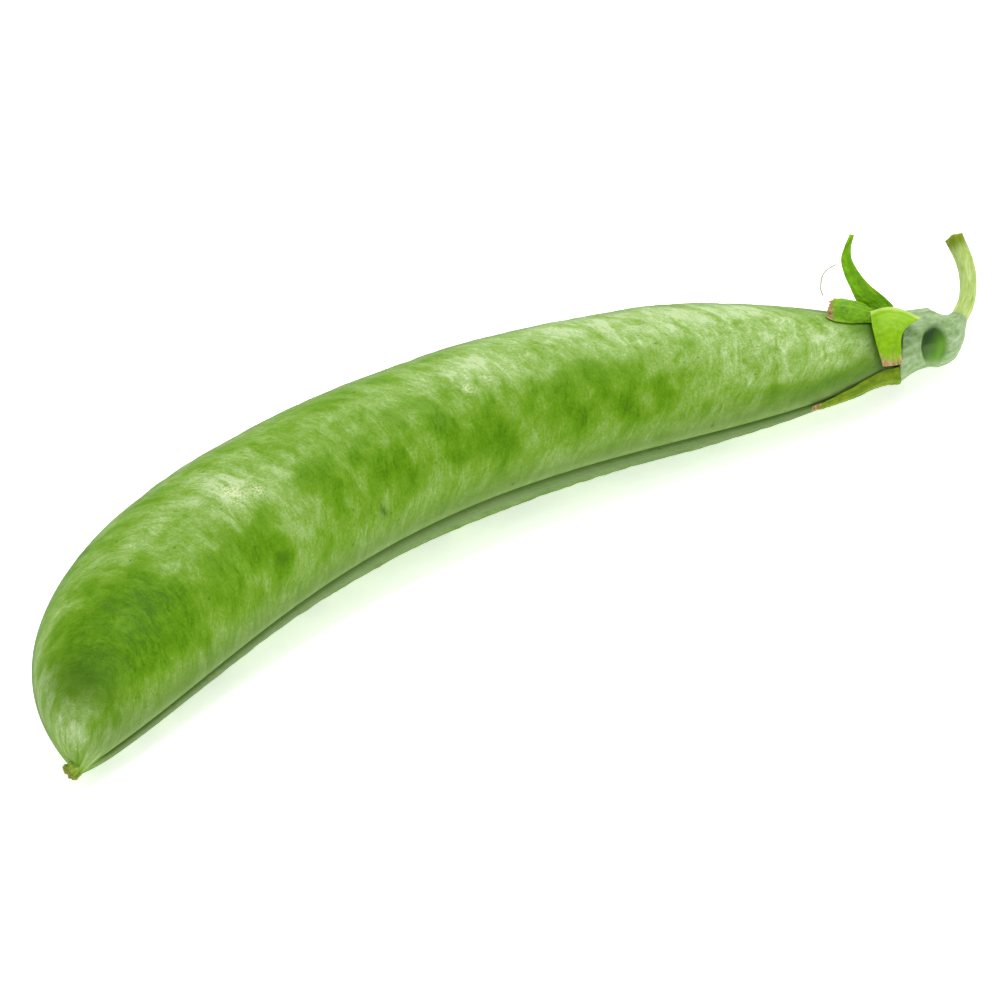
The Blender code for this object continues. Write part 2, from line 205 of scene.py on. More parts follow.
# ---- The sepals: rows of points across each blade, from its base on the cup to its tip. Places along a
# blade run from 0 at its base to 1 at its tip, so one that would dry past 1.2 stays green.
SEPAL_GRIDS = {
    "sepal_upright": [
        [(81.5, 1.75, 2.35), (80.6, 2.35, 1.95), (79.55, 2.95, 1.6)],
        [(81.25, 2.67, 2.76), (80.4, 3.05, 2.25), (79.4, 3.5, 1.95)],
        [(80.67, 3.92, 3.44), (79.95, 4.1, 2.95), (79.2, 4.2, 2.8)],
        [(80.46, 5.22, 4.0), (79.95, 5.45, 3.7), (79.35, 5.55, 3.68)],
        [(80.51, 6.36, 4.58), (80.17, 6.67, 4.42), (79.71, 6.81, 4.5)],
        [(81.02, 7.21, 5.02), (80.84, 7.43, 4.97), (80.6, 7.55, 5.06)],
        [(81.78, 7.8, 5.6), (81.62, 7.9, 5.6), (81.48, 8.02, 5.68)],
    ],
    "sepal_back": [
        [(80.1, 1.9, 1.9), (79.9, 1.4, 2.3), (79.6, 0.7, 2.4)],
        [(79.4, 3.2, 2.7), (78.9, 2.3, 2.75), (78.5, 1.4, 2.5)],
        [(78.6, 4.3, 2.7), (78.0, 3.2, 3.0), (77.3, 2.0, 2.6)],
        [(78.0, 4.9, 2.8), (77.2, 3.8, 3.1), (76.4, 2.6, 2.65)],
        [(77.4, 5.3, 2.6), (76.6, 4.4, 2.9), (75.8, 3.4, 2.5)],
    ],
    "sepal_front": [
        [(82.0, -1.2, 3.15), (80.55, -1.3, 3.15), (79.55, -1.75, 2.7), (78.8, -2.95, 1.25)],
        [(80.85, 1.1, 3.2), (79.7, -0.05, 3.3), (78.85, -1.35, 2.75), (78.35, -2.8, 1.15)],
        [(79.1, 1.9, 3.1), (78.1, 0.3, 3.2), (77.55, -1.05, 2.6), (77.3, -2.35, 1.25)],
    ],
    "sepal_belly": [
        [(78.5, -2.95, 1.0), (78.35, -3.5, 0.0), (78.3, -3.2, -0.7)],
        [(76.9, -2.45, 0.85), (76.8, -2.85, 0.15), (76.7, -2.6, -0.6)],
        [(74.1, -2.35, 0.65), (73.95, -2.65, 0.1), (73.85, -2.45, -0.5)],
        [(71.75, -2.15, 0.4), (71.6, -2.3, 0.1), (71.58, -2.2, -0.2)],
        [(70.3, -2.0, 0.45), (70.25, -2.1, 0.2), (70.3, -2.0, -0.05)],
    ],
    "sepal_under": [
        [(80.2, -0.5, -2.6), (80.3, 0.4, -2.75), (80.4, 1.3, -2.4)],
        [(79.0, 0.0, -2.7), (79.3, 1.0, -2.85), (79.6, 1.9, -2.5)],
        [(77.1, 0.7, -2.95), (77.4, 1.6, -3.05), (77.7, 2.5, -2.8)],
        [(75.4, 1.5, -3.3), (75.6, 2.1, -3.35), (75.8, 2.7, -3.3)],
        [(74.4, 2.1, -3.5), (74.5, 2.35, -3.55), (74.6, 2.6, -3.5)],
    ],
}
SEPAL_STEPS_ALONG = 96
SEPAL_STEPS_ACROSS = 40
SEPAL_CLEARANCE = 0.1
INSIDE_COSINE = -0.7
SEPAL_MIDDLE = (79.0, 0.0, 0.0)
PUSH_BLURS = 4
EDGE_THINNING = 0.3
EDGE_TAPER = 0.35
EDGE_START = 0.6
WAVE_SIZE = (0.9, 3.0, 1.0)
MIDRIB_HEIGHT = 0.05
MIDRIB_WIDTH = 0.09
SIDE_VEIN_DEPTH = 0.035
SIDE_VEIN_SLANT = 0.9
SIDE_VEIN_RATE = 4.6
SIDE_VEIN_WANDER = 1.2
SIDE_VEIN_WANDER_SIZE = 0.9
CRUMPLE_HEIGHT = 0.05
CRUMPLE_SIZE = 0.7
TEAR_ROWS = 8
TEAR_SIZE = (9.0, 0.35, 1.0)
TEAR_START = 0.7
DRYING_LENGTH = 0.16
DRY_SIDE_EDGE = (0.62, 1.0)
DRY_SIDE_WANDER = 0.25
MARGIN_WANDER = 0.12
MARGIN_SIZE = 0.6
# Where the painted highlight along a sepal's first column fades in.
FOLD_HIGHLIGHT_EDGE = (0.78, 0.92)
GREEN_TO_THE_TIP = 1.2

# ---- The withered stamen thread, and the stub of the style at the pod's tip.
THREAD_LINE = [(77.0, 5.55, 3.1), (77.1, 6.1, 3.5), (77.6, 6.6, 4.0), (78.2, 6.7, 4.5), (78.9, 6.5, 4.9)]
THREAD_STEPS = 10
THREAD_RINGS = 40
THREAD_SIDES = 10
THREAD_RADIUS = 0.07
THREAD_RIDGE = 0.02
THREAD_TWIST = 3.0
STYLE_START = (0.25, 0.6, 0.0)
STYLE_END = (-0.8, 0.5, 0.0)
STYLE_RADIUS = [(0.0, 0.62), (0.3, 0.8), (0.7, 0.84), (0.9, 0.74), (1.0, 0.5)]
STYLE_FLATTENING = 0.68
STYLE_RINGS = 34
STYLE_SIDES = 40
STYLE_LUMPS = 0.09
STYLE_LUMP_SIZE = 0.35
STYLE_TEAR = 0.25
STYLE_TEAR_SIZE = (0.5, 0.25, 0.3)
STYLE_CUT_LENGTH = 0.3

# ---- The studio: sizes and places in metres.
WORLD_STRENGTH = 0.5
LIGHTS = {
    "key": {"place": (0.26, 0.1, 0.5), "size": 0.34, "power": 2.3, "colour": (1.0, 1.0, 0.98)},
    "fill": {"place": (-0.5, -0.1, 0.5), "size": 0.6, "power": 0.9, "colour": (0.98, 0.99, 1.0)},
}
FLOOR_HALF_SIZE = 4.0
FLOOR_RIM = 0.4
FLOOR_GLOW = 0.6


def to_row(points):
    """Points of the plan, in millimetres, to the frame, in metres."""
    return (np.asarray(points) @ REST.T + np.array(PLAN_ORIGIN)) * MM


def view_axes():
    """The camera's right, up and backward directions on the plan."""
    azimuth, elevation = math.radians(CAMERA_AZIMUTH), math.radians(CAMERA_ELEVATION)
    back = np.array((math.sin(azimuth) * math.cos(elevation), -math.cos(azimuth) * math.cos(elevation),
                     math.sin(elevation)))
    right = np.array((math.cos(azimuth), math.sin(azimuth), 0.0))
    return right, np.cross(back, right), back


def bezier(points, amounts):
    """The points of a Bezier curve at each amount, from 0 to 1."""
    step = amounts[:, None]
    row = [np.array(point, float)[None, :] + 0.0 * step for point in points]
    while len(row) > 1:
        row = [first + (second - first) * step for first, second in zip(row, row[1:])]
    return row[0]


def unit(vector):
    """A vector made one long."""
    return vector / np.linalg.norm(vector)


def distances_along(line):
    """The distance along a line of points at each of them, from 0 at the first."""
    steps = np.linalg.norm(np.diff(line, axis=0), axis=1)
    return np.concatenate([[0.0], np.cumsum(steps)])


def evenly(line, count):
    """count points, evenly spaced, along a line of points."""
    travelled = distances_along(line)
    wanted = np.linspace(0.0, travelled[-1], count)
    return np.stack([np.interp(wanted, travelled, line[:, axis]) for axis in range(line.shape[1])], axis=1)


def smooth_line(points, steps):
    """A curve through every point (Catmull-Rom), with the given steps from each to the next."""
    points = [np.array(point, float) for point in points]
    padded = [2.0 * points[0] - points[1]] + points + [2.0 * points[-1] - points[-2]]
    line = []
    for before, start, end, after in zip(padded, padded[1:], padded[2:], padded[3:]):
        for step in range(steps):
            t = step / steps
            line.append(0.5 * (2 * start + (end - before) * t
                               + (2 * before - 5 * start + 4 * end - after) * t ** 2
                               + (3 * start - before - 3 * end + after) * t ** 3))
    return np.array(line + [points[-1]])


def bump(distance, width):
    """A smooth bump: 1 where the distance is 0, fading away over the width."""
    return np.exp(-(distance / width) ** 2)


def smoothstep(value, low, high):
    """A soft rise from 0 at low to 1 at high, or a fall where low is the larger."""
    amount = np.clip((value - low) / (high - low), 0.0, 1.0)
    return amount * amount * (3.0 - 2.0 * amount)


def noise_at(points, size, seed=0.0):
    """Smooth noise, from about -1 to 1, at each point of a grid; size is one number or one per axis."""
    scaled = np.asarray(points) / np.asarray(size) + seed
    flat = scaled.reshape(-1, 3)
    values = np.fromiter((noise.noise(Vector(point)) for point in flat), float, len(flat))
    return values.reshape(scaled.shape[:-1])


def square_to(around, along, away):
    """Unit normals of a grid from its two directions, all turned to the side that points away."""
    normals = np.cross(around, along)
    normals = normals / np.maximum(np.linalg.norm(normals, axis=2, keepdims=True), 1e-9)
    return normals * np.sign((normals * away).sum())


def ring_normals(rings):
    """The outward normal at each point of a tube of rings."""
    around = np.roll(rings, -1, axis=1) - np.roll(rings, 1, axis=1)
    return square_to(around, np.gradient(rings, axis=0), rings - rings.mean(axis=1, keepdims=True))


def sheet_normals(points, middle):
    """The normal at each point of a sheet, on the side that faces away from a middle point."""
    return square_to(np.gradient(points, axis=1), np.gradient(points, axis=0), points - np.array(middle))


# ---- Meshes

def ring_faces(rows, sides):
    """The faces of the side of a tube of rings."""
    faces = []
    for row in range(rows - 1):
        for side in range(sides):
            turned = (side + 1) % sides
            faces.append((row * sides + side, row * sides + turned,
                          (row + 1) * sides + turned, (row + 1) * sides + side))
    return faces


def make_mesh(name, points, faces, values):
    """A mesh of plan points with its values, each one number or three for every point, as attributes."""
    mesh = bpy.data.meshes.new(name)
    mesh.from_pydata(to_row(points).tolist(), [], faces)
    for key, numbers in values.items():
        numbers = np.asarray(numbers, np.float32)
        if numbers.ndim > 1:
            mesh.attributes.new(key, "FLOAT_VECTOR", "POINT").data.foreach_set("vector", numbers.ravel())
        else:
            mesh.attributes.new(key, "FLOAT", "POINT").data.foreach_set("value", numbers)
    shell = bmesh.new()
    shell.from_mesh(mesh)
    bmesh.ops.recalc_face_normals(shell, faces=shell.faces)
    shell.to_mesh(mesh)
    shell.free()
    mesh.shade_smooth()
    return mesh


def add_piece(name, mesh, material, nodes):
    """Add a visible piece that rides on the frame's one body and stands for its CAD nodes."""
    piece = bpy.data.objects.new(name, mesh)
    bpy.context.scene.collection.objects.link(piece)
    mesh.materials.append(material)
    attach(piece, "root")
    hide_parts(*nodes)


def tube_mesh(name, rings, values):
    """A closed tube through rings of points; values are arrays of one number or three per point."""
    rows, sides = rings.shape[:2]
    points = rings.reshape(-1, 3)
    ends = np.array([rings[0].mean(axis=0), rings[-1].mean(axis=0)])
    first, last = rows * sides, rows * sides + 1
    faces = ring_faces(rows, sides)
    faces += [((side + 1) % sides, side, first) for side in range(sides)]
    start = (rows - 1) * sides
    faces += [(start + side, start + (side + 1) % sides, last) for side in range(sides)]
    columns = {}
    for key, numbers in values.items():
        flat = numbers.reshape(rows * sides, -1)
        caps = np.array([flat[:sides].mean(axis=0), flat[-sides:].mean(axis=0)])
        joined = np.concatenate([flat, caps])
        columns[key] = joined if joined.shape[1] > 1 else joined[:, 0]
    return make_mesh(name, np.concatenate([points, ends]), faces, columns)


def outer_surface(rings):
    """The side of a tube, in plan millimetres, for finding the nearest point and outward normal on it."""
    faces = ring_faces(*rings.shape[:2])
    around = rings[0, 1] - rings[0, 0]
    along = rings[1, 0] - rings[0, 0]
    if np.cross(around, along) @ (rings[0, 0] - rings[0].mean(axis=0)) < 0.0:
        faces = [face[::-1] for face in faces]
    return BVHTree.FromPolygons(rings.reshape(-1, 3).tolist(), faces)


# ---- Materials

LEAF_RADIUS = (0.6, 1.0, 0.2)
FLESH_RADIUS = (0.9, 1.4, 0.35)


class Shading:
    """A material's nodes. Each method adds one node and returns its output; sockets given are linked."""

    def __init__(self, name):
        self.material = bpy.data.materials.new(name)
        self.material.use_nodes = True
        self.tree = self.material.node_tree
        self.shader = self.tree.nodes["Principled BSDF"]

    def node(self, kind, inputs=(), **settings):
        """A node of the given kind, its inputs by their names or numbers."""
        made = self.tree.nodes.new("ShaderNode" + kind)
        for key, value in settings.items():
            setattr(made, key, value)
        for key, value in dict(inputs).items():
            self.put(made.inputs[key], value)
        return made

    def put(self, socket, value):
        """Link an output to the socket, or give the socket a constant value or colour."""
        if isinstance(value, bpy.types.NodeSocket):
            self.tree.links.new(value, socket)
        elif isinstance(value, tuple) and len(value) == 3 and socket.type == "RGBA":
            socket.default_value = (*value, 1.0)
        else:
            socket.default_value = value

    def set(self, **inputs):
        """Set the shader's own sockets, by their names with _ for each space."""
        for key, value in inputs.items():
            self.put(self.shader.inputs[key.replace("_", " ")], value)

    def flesh(self, weight, radius):
        """Let light in a little way under the surface, as far as the radius in millimetres."""
        self.set(Subsurface_Weight=weight, Subsurface_Radius=radius, Subsurface_Scale=MM)

    def number(self, name):
        """A value of one number that the mesh carries."""
        return self.node("Attribute", attribute_name=name).outputs["Fac"]

    def vector(self, name):
        """A value of three numbers that the mesh carries."""
        return self.node("Attribute", attribute_name=name).outputs["Vector"]

    def body_place(self):
        """The place on the piece, in millimetres."""
        return self.scaled(self.node("TexCoord").outputs["Object"], (1.0 / MM, 1.0 / MM, 1.0 / MM))

    def math(self, operation, first, second=0.0):
        """An operation on two values."""
        return self.node("Math", {0: first, 1: second}, operation=operation).outputs[0]

    def total(self, start, *parts):
        """A start value plus each socket times its factor."""
        result = start
        for value, factor in parts:
            result = self.math("ADD", result, self.math("MULTIPLY", value, factor))
        return result

    def scaled(self, vector, scale, offset=(0.0, 0.0, 0.0)):
        """A vector scaled and then moved by an offset."""
        return self.node("Mapping", {"Vector": vector, "Scale": scale, "Location": offset}).outputs[0]

    def noise(self, vector, scale=1.0, detail=3.0, rough=0.55):
        """Smooth noise from 0 to 1."""
        inputs = {"Vector": vector, "Scale": scale, "Detail": detail, "Roughness": rough}
        return self.node("TexNoise", inputs).outputs["Fac"]

    def cells(self, vector, scale):
        """The distance from the middle of the nearest of scattered cells."""
        return self.node("TexVoronoi", {"Vector": vector, "Scale": scale}).outputs["Distance"]

    def fit(self, value, low, high, to_low=0.0, to_high=1.0):
        """A value carried from one range to another, clamped to it and eased at its ends."""
        inputs = {"Value": value, "From Min": low, "From Max": high, "To Min": to_low, "To Max": to_high}
        return self.node("MapRange", inputs, interpolation_type="SMOOTHSTEP").outputs[0]

    def ramp(self, value, stops):
        """A colour by a value, from stops of a place and a colour."""
        made = self.node("ValToRGB", {"Fac": value})
        elements = made.color_ramp.elements
        while len(elements) < len(stops):
            elements.new(0.5)
        for element, (place, colour) in zip(elements, stops):
            element.position = place
            element.color = (*colour, 1.0)
        return made.outputs["Color"]

    def mix(self, factor, first, second):
        """A colour between two, by a factor from 0 for the first to 1 for the second."""
        return self.node("Mix", {0: factor, 6: first, 7: second}, data_type="RGBA").outputs[2]

    def bumped(self, height, depth_mm):
        """A normal roughened by a height, as deep as the given millimetres."""
        return self.node("Bump", {"Height": height, "Distance": depth_mm * MM, "Strength": 1.0}).outputs[0]


def srgb(red, green, blue):
    """A linear colour from the 0 to 255 numbers of a screen colour."""
    return tuple(value / 255 / 12.92 if value < 11 else ((value / 255 + 0.055) / 1.055) ** 2.4
                 for value in (red, green, blue))


POD_GREENS = [(0.0, srgb(74, 122, 0)), (0.22, srgb(94, 144, 0)), (0.48, srgb(116, 160, 36)),
              (0.7, srgb(142, 178, 86)), (0.85, srgb(164, 195, 118)), (1.0, srgb(192, 214, 158))]
CUP_GREENS = [(0.36, srgb(112, 146, 76)), (0.52, srgb(142, 172, 116)), (0.7, srgb(182, 204, 164))]
HOLLOW_SHADE_GREENS = [(0.1, srgb(34, 72, 0)), (0.9, srgb(92, 148, 0))]
STALK_GREENS = [(0.3, srgb(146, 176, 70)), (0.5, srgb(176, 198, 108)), (0.75, srgb(204, 220, 156))]
STYLE_GREENS = [(0.35, srgb(78, 106, 10)), (0.5, srgb(112, 148, 24)), (0.65, srgb(150, 176, 66))]
FRESH_GREENS = [(0.3, srgb(112, 164, 0)), (0.52, srgb(136, 188, 0)), (0.74, srgb(168, 208, 50))]
DEEP_GREENS = [(0.3, srgb(66, 118, 0)), (0.52, srgb(108, 162, 0)), (0.74, srgb(150, 194, 16))]
OLIVE_GREENS = [(0.3, srgb(74, 102, 0)), (0.52, srgb(108, 136, 0)), (0.74, srgb(148, 160, 20))]
DRY_BROWNS = [(0.3, srgb(118, 84, 40)), (0.5, srgb(170, 140, 88)), (0.7, srgb(206, 184, 140))]
THREAD_GREYS = [(0.3, srgb(186, 178, 160)), (0.7, srgb(232, 228, 214))]
FLOOR_GREYS = [(0.3, (0.9, 0.9, 0.9)), (0.7, (0.94, 0.94, 0.94))]


def pod_textures(look, place):
    """The noises of the pod's skin. Most are drawn out across the pod, along lines that waver."""
    warp = look.noise(look.scaled(place, (0.35, 0.25, 0.25)), detail=2.0)
    push = look.node("CombineXYZ", {0: look.fit(warp, 0.2, 0.8, -0.5, 0.5)}).outputs[0]
    wavy = look.node("VectorMath", {0: place, 1: push}, operation="ADD").outputs[0]
    return SimpleNamespace(
        streaks=look.noise(look.scaled(wavy, (1.3, 0.32, 0.32)), detail=4.0),
        threads=look.noise(look.scaled(wavy, (3.8, 0.8, 0.8), (5.0, 0.0, 0.0))),
        stripes=look.noise(look.scaled(wavy, (0.85, 0.12, 0.12), (0.0, 3.0, 0.0)), detail=2.0),
        fibres=look.noise(look.scaled(wavy, (7.5, 1.3, 1.3), (0.0, 7.0, 0.0)), detail=2.0),
        blots=look.noise(look.scaled(wavy, (0.62, 0.42, 0.42), (2.0, 4.0, 0.0)), rough=0.5),
        mottle=look.noise(look.scaled(place, (0.9, 0.8, 0.8), (0.0, 9.0, 0.0)), detail=5.0, rough=0.62),
        grain=look.noise(place, scale=5.5, rough=0.6))


def pod_paleness(look, made):
    """How pale the skin is: 0 where its wax is worn off and where painted shade lies by the sepals,
    about 1 where the wax is thickest and where a painted sheen lies.
    """
    ragged = look.total(-0.5, (made.streaks, 0.5), (made.mottle, 0.35), (made.threads, 0.15))
    # Worn patches darken the skin, and so does the painted shade at the neck.
    rubbed_and_shade = look.total(-1.2, (look.number("rubbed_and_shade"), 1.0), (ragged, 2.4), (made.blots, 2.4))
    wear_and_shade = look.fit(rubbed_and_shade, 0.0, 1.1)
    # Pale wax, and a painted sheen where its patches lie nearer the neck.
    bloom_and_sheen = look.math("MULTIPLY", look.number("bloom_and_sheen"), look.fit(made.stripes, 0.36, 0.62, 0.55, 1.15))
    level = look.total(-0.74, (made.streaks, 0.55), (made.mottle, 0.65), (made.threads, 0.5),
                       (made.fibres, 0.35), (made.grain, 0.6), (wear_and_shade, -0.45), (bloom_and_sheen, 0.34))
    return look.math("MAXIMUM", level, 0.0)


def pod_material():
    """Green skin under a pale waxy coat, with darker marks, pale scars and dark pores. Painted shade lies
    at its outline, in the seams and by the sepals, and a painted highlight on the rib and in sheen
    patches.
    """
    look = Shading("pod_skin")
    place = look.vector("pod_place")
    made = pod_textures(look, place)
    level = pod_paleness(look, made)
    skin = look.ramp(level, POD_GREENS)

    # Painted shade: the skin darkens towards its outline, where it turns away from the camera.
    rim = look.fit(look.node("LayerWeight", {"Blend": 0.5}).outputs["Facing"], 0.62, 1.0)
    skin = look.mix(look.math("MULTIPLY", rim, 0.55), skin, srgb(70, 104, 26))
    # Painted highlight: a paler line along the rib beside the belly seam.
    skin = look.mix(look.number("rib_highlight"), skin, srgb(140, 166, 98))
    # Dull dark green: a mark by the tip, and painted shade at the neck beside the sepals.
    skin = look.mix(look.number("dull_and_shade"), skin, srgb(58, 94, 14))
    # Painted shade: grey-green beside the belly seam, deeper on the face that is down.
    skin = look.mix(look.number("under"), skin, srgb(98, 120, 72))
    # Painted shade: dark in the belly seam's groove and in a thin line along the back seam's keel.
    skin = look.mix(look.number("groove"), skin, srgb(56, 84, 16))
    flakes = look.math("MULTIPLY", look.number("scar"), look.fit(made.grain, 0.4, 0.58))
    skin = look.mix(flakes, skin, srgb(218, 230, 178))

    pored = look.fit(look.noise(place, scale=0.4, detail=1.0), 0.42, 0.6)
    pores = look.math("MULTIPLY", look.fit(look.cells(place, 0.75), 0.13, 0.04), pored)
    skin = look.mix(look.math("MULTIPLY", pores, 0.65), skin, srgb(62, 96, 22))
    skin = look.mix(look.number("nick"), skin, srgb(52, 78, 20))

    look.set(Base_Color=skin, Roughness=look.fit(level, 0.0, 1.0, 0.52, 0.44), IOR=1.4)
    look.set(Specular_IOR_Level=look.fit(rim, 0.0, 1.0, 0.18, 0.05))
    look.set(Normal=look.bumped(look.total(0.0, (made.threads, 0.6), (made.grain, 0.5)), 0.05))
    look.flesh(0.12, FLESH_RADIUS)
    return look.material


def cup_material():
    """Pale grey-green, streaked along the cup, with painted shade in its hollow, lighter to its lower
    right.
    """
    look = Shading("cup_skin")
    fine = look.noise(look.body_place(), scale=2.2, detail=4.0)
    streaks = look.noise(look.scaled(look.vector("cup_place"), (0.5, 3.2, 3.2)), scale=1.6)
    skin = look.ramp(look.total(0.0, (fine, 0.45), (streaks, 0.55)), CUP_GREENS)
    # Painted shade in the hollow: deep green, darkest at its upper left.
    skin = look.mix(look.number("hollow"), skin, look.ramp(look.number("hollow_lit_side"), HOLLOW_SHADE_GREENS))
    look.set(Base_Color=skin, Roughness=look.fit(fine, 0.3, 0.7, 0.35, 0.55), Specular_IOR_Level=0.4)
    look.set(Normal=look.bumped(fine, 0.05))
    look.flesh(0.1, FLESH_RADIUS)
    return look.material


def stalk_material():
    """Light green, streaked along the stalk, and olive at its cut end."""
    look = Shading("stalk_skin")
    streaks = look.noise(look.scaled(look.vector("cup_place"), (0.5, 2.4, 2.4)), scale=1.8, detail=4.0)
    skin = look.mix(look.number("cut"), look.ramp(streaks, STALK_GREENS), srgb(118, 138, 0))
    look.set(Base_Color=skin, Roughness=look.fit(streaks, 0.3, 0.7, 0.4, 0.6), Specular_IOR_Level=0.25)
    look.set(Normal=look.bumped(streaks, 0.06))
    look.flesh(0.15, FLESH_RADIUS)
    return look.material


def style_material():
    """Dry and mottled green, browner at its broken end."""
    look = Shading("style_bark")
    fine = look.noise(look.body_place(), scale=2.6, detail=4.0)
    browned = look.math("MULTIPLY", look.number("cut"), 0.6)
    skin = look.mix(browned, look.ramp(fine, STYLE_GREENS), srgb(116, 104, 34))
    look.set(Base_Color=skin, Roughness=look.fit(fine, 0.3, 0.7, 0.6, 0.8), Specular_IOR_Level=0.3)
    look.set(Normal=look.bumped(fine, 0.12))
    return look.material


def sepal_material(name, greens):
    """A leaf's green, streaked along it, with a pale midrib, a painted highlight on a turned edge
    and dry brown parts.
    """
    look = Shading(name + "_skin")
    place = look.vector("leaf_place")
    fine = look.noise(place, scale=2.4, detail=4.0)
    streaks = look.noise(look.scaled(place, (0.45, 2.6, 1.0)))
    skin = look.ramp(look.total(0.0, (fine, 0.4), (streaks, 0.62)), greens)
    skin = look.mix(look.math("MULTIPLY", look.number("rib"), 0.25), skin, srgb(160, 196, 60))
    # Painted highlight: pale along the sepal's turned-over edge.
    skin = look.mix(look.math("MULTIPLY", look.number("fold_highlight"), 0.7), skin, srgb(202, 226, 120))
    skin = look.mix(look.number("dry"), skin, look.ramp(fine, DRY_BROWNS))
    look.set(Base_Color=skin, Roughness=look.fit(fine, 0.3, 0.7, 0.42, 0.62), Specular_IOR_Level=0.2)
    look.set(Normal=look.bumped(fine, 0.05))
    look.flesh(0.15, LEAF_RADIUS)
    return look.material


def thread_material():
    """Withered, a warm grey."""
    look = Shading("thread_skin")
    streaks = look.noise(look.vector("cup_place"), scale=2.0)
    look.set(Base_Color=look.ramp(streaks, THREAD_GREYS), Roughness=look.fit(streaks, 0.3, 0.7, 0.6, 0.9),
             Specular_IOR_Level=0.3)
    return look.material


# ---- The pod

def half_thickness(along):
    """Half the pod's thickness, from 0 at the neck to 1 at the tip."""
    neck_rise = (1.0 - (1.0 - along) ** NECK_FULLNESS) ** NECK_ROUNDING
    tip_fall = (1.0 - along ** TIP_FULLNESS) ** TIP_ROUNDING
    neck = NECK_HALF_THICKNESS * (1.0 - along) ** NECK_FADE
    return SEAM_HALF_THICKNESS + BODY_HALF_THICKNESS * neck_rise * tip_fall + neck


def pod_sections():
    """The pod's smooth wall as rings of points from the neck to the tip, and each ring's centre."""
    amounts = np.linspace(0.0, 1.0, SEAM_STEPS + 1)
    belly, back = [evenly(bezier(seam, amounts), POD_RINGS + 1) for seam in (BELLY_SEAM, BACK_SEAM)]
    along = np.linspace(0.0, 1.0, POD_RINGS + 1)
    angles = 2.0 * math.pi * np.arange(POD_SIDES) / POD_SIDES
    across = np.cos(angles)
    lift = np.maximum(0.0, 1.0 - np.abs(across) ** LENS_POWER) ** LENS_EDGE * np.sign(np.sin(angles))
    centre, reach = (belly + back) / 2.0, (back - belly) / 2.0
    flat = centre[:, None, :] + reach[:, None, :] * across[None, :, None]
    height = half_thickness(along)[:, None] * lift[None, :]
    return np.concatenate([flat, height[:, :, None]], axis=2), centre


def wall_places(rings, centre):
    """Where each point of the wall is: its distances along the pod from the neck and along its section
    from each seam, the section's width, its face (1 up, -1 down), and place, its point on the skin's
    pattern. room is 0 on sections too narrow for detail and 1 on wide ones."""
    half = POD_SIDES // 2
    steps = np.linalg.norm(np.roll(rings, -1, axis=1) - rings, axis=2)
    walked = np.concatenate([np.zeros((len(rings), 1)), np.cumsum(steps[:, :half], axis=1)], axis=1)
    from_back = np.concatenate([walked, walked[:, 1:half][:, ::-1]], axis=1)
    width = walked[:, -1][:, None]
    travelled = distances_along(centre)[:, None]
    side = np.where(np.arange(POD_SIDES) <= half, 1.0, -1.0)[None, :]

    spread = 2.0 * from_back / width - 1.0
    arched = travelled + VEIN_ARCH * (1.0 - spread ** 2)
    turn = (0.5 + 0.5 * spread) * math.pi * side
    place = np.stack([arched, CYLINDER_RADIUS * np.cos(turn), CYLINDER_RADIUS * np.sin(turn)], axis=2)
    return SimpleNamespace(travelled=travelled, from_back=from_back, from_belly=width - from_back,
                           width=width, side=side, place=place, room=smoothstep(width, *ROOM_WIDTHS))


def seam_shapes(at):
    """The groove and the rib along the belly seam and the keel along the back seam, each from 0 to 1."""
    groove = bump(at.from_belly, GROOVE_WIDTH) * at.room
    rib = bump(at.from_belly - RIB_OFFSET, RIB_WIDTH) * at.room
    keel = bump(at.from_back, KEEL_WIDTH) * at.room
    return groove, rib, keel


def wall_relief(at):
    """How far each point stands out from the smooth wall: veins, ripples, dimples, peas and seams."""
    off_seams = smoothstep(np.minimum(at.from_back, at.from_belly), *SEAM_MARGIN) * at.room
    veins = np.abs(noise_at(at.place, (VEIN_SPACING, VEIN_LENGTH, VEIN_LENGTH)))
    fine_size = (FINE_VEIN_SPACING, FINE_VEIN_LENGTH, FINE_VEIN_LENGTH)
    fine_veins = np.abs(noise_at(at.place, fine_size, seed=7.3))
    relief = VEIN_HEIGHT * (0.5 - 2.0 * veins) * off_seams
    relief += FINE_VEIN_HEIGHT * (0.5 - 2.0 * fine_veins) * off_seams
    relief += RIPPLE_HEIGHT * noise_at(at.place, RIPPLE_SIZE, seed=3.1) * off_seams
    relief += DIMPLE_HEIGHT * noise_at(at.place, DIMPLE_SIZE, seed=5.7) * off_seams
    for pea in PEA_PLACES:
        relief += (PEA_SWELL * bump(at.travelled - pea * at.travelled[-1], PEA_LENGTH)
                   * bump(at.from_back - PEA_ACROSS * at.width, PEA_WIDTH) * at.room)
    groove, rib, keel = seam_shapes(at)
    relief += RIB_HEIGHT * rib - GROOVE_DEPTH * groove + KEEL_HEIGHT * keel
    return relief


def marked(at, patches):
    """The strongest of the patches at each point; on the far face they are shifted along."""
    strongest = np.zeros_like(at.from_back)
    for distance, across, length, reach, strength in patches:
        along_it = (at.travelled + FAR_FACE_SHIFT * (at.side < 0) - distance) / length
        across_it = (at.from_back - across * at.width) / reach
        strongest = np.maximum(strongest, strength * np.exp(-along_it ** 2 - across_it ** 2))
    return strongest


def worn_band(at, across, width, strength):
    """A worn band along the whole pod."""
    return strength * bump(at.from_back / at.width - across, width)


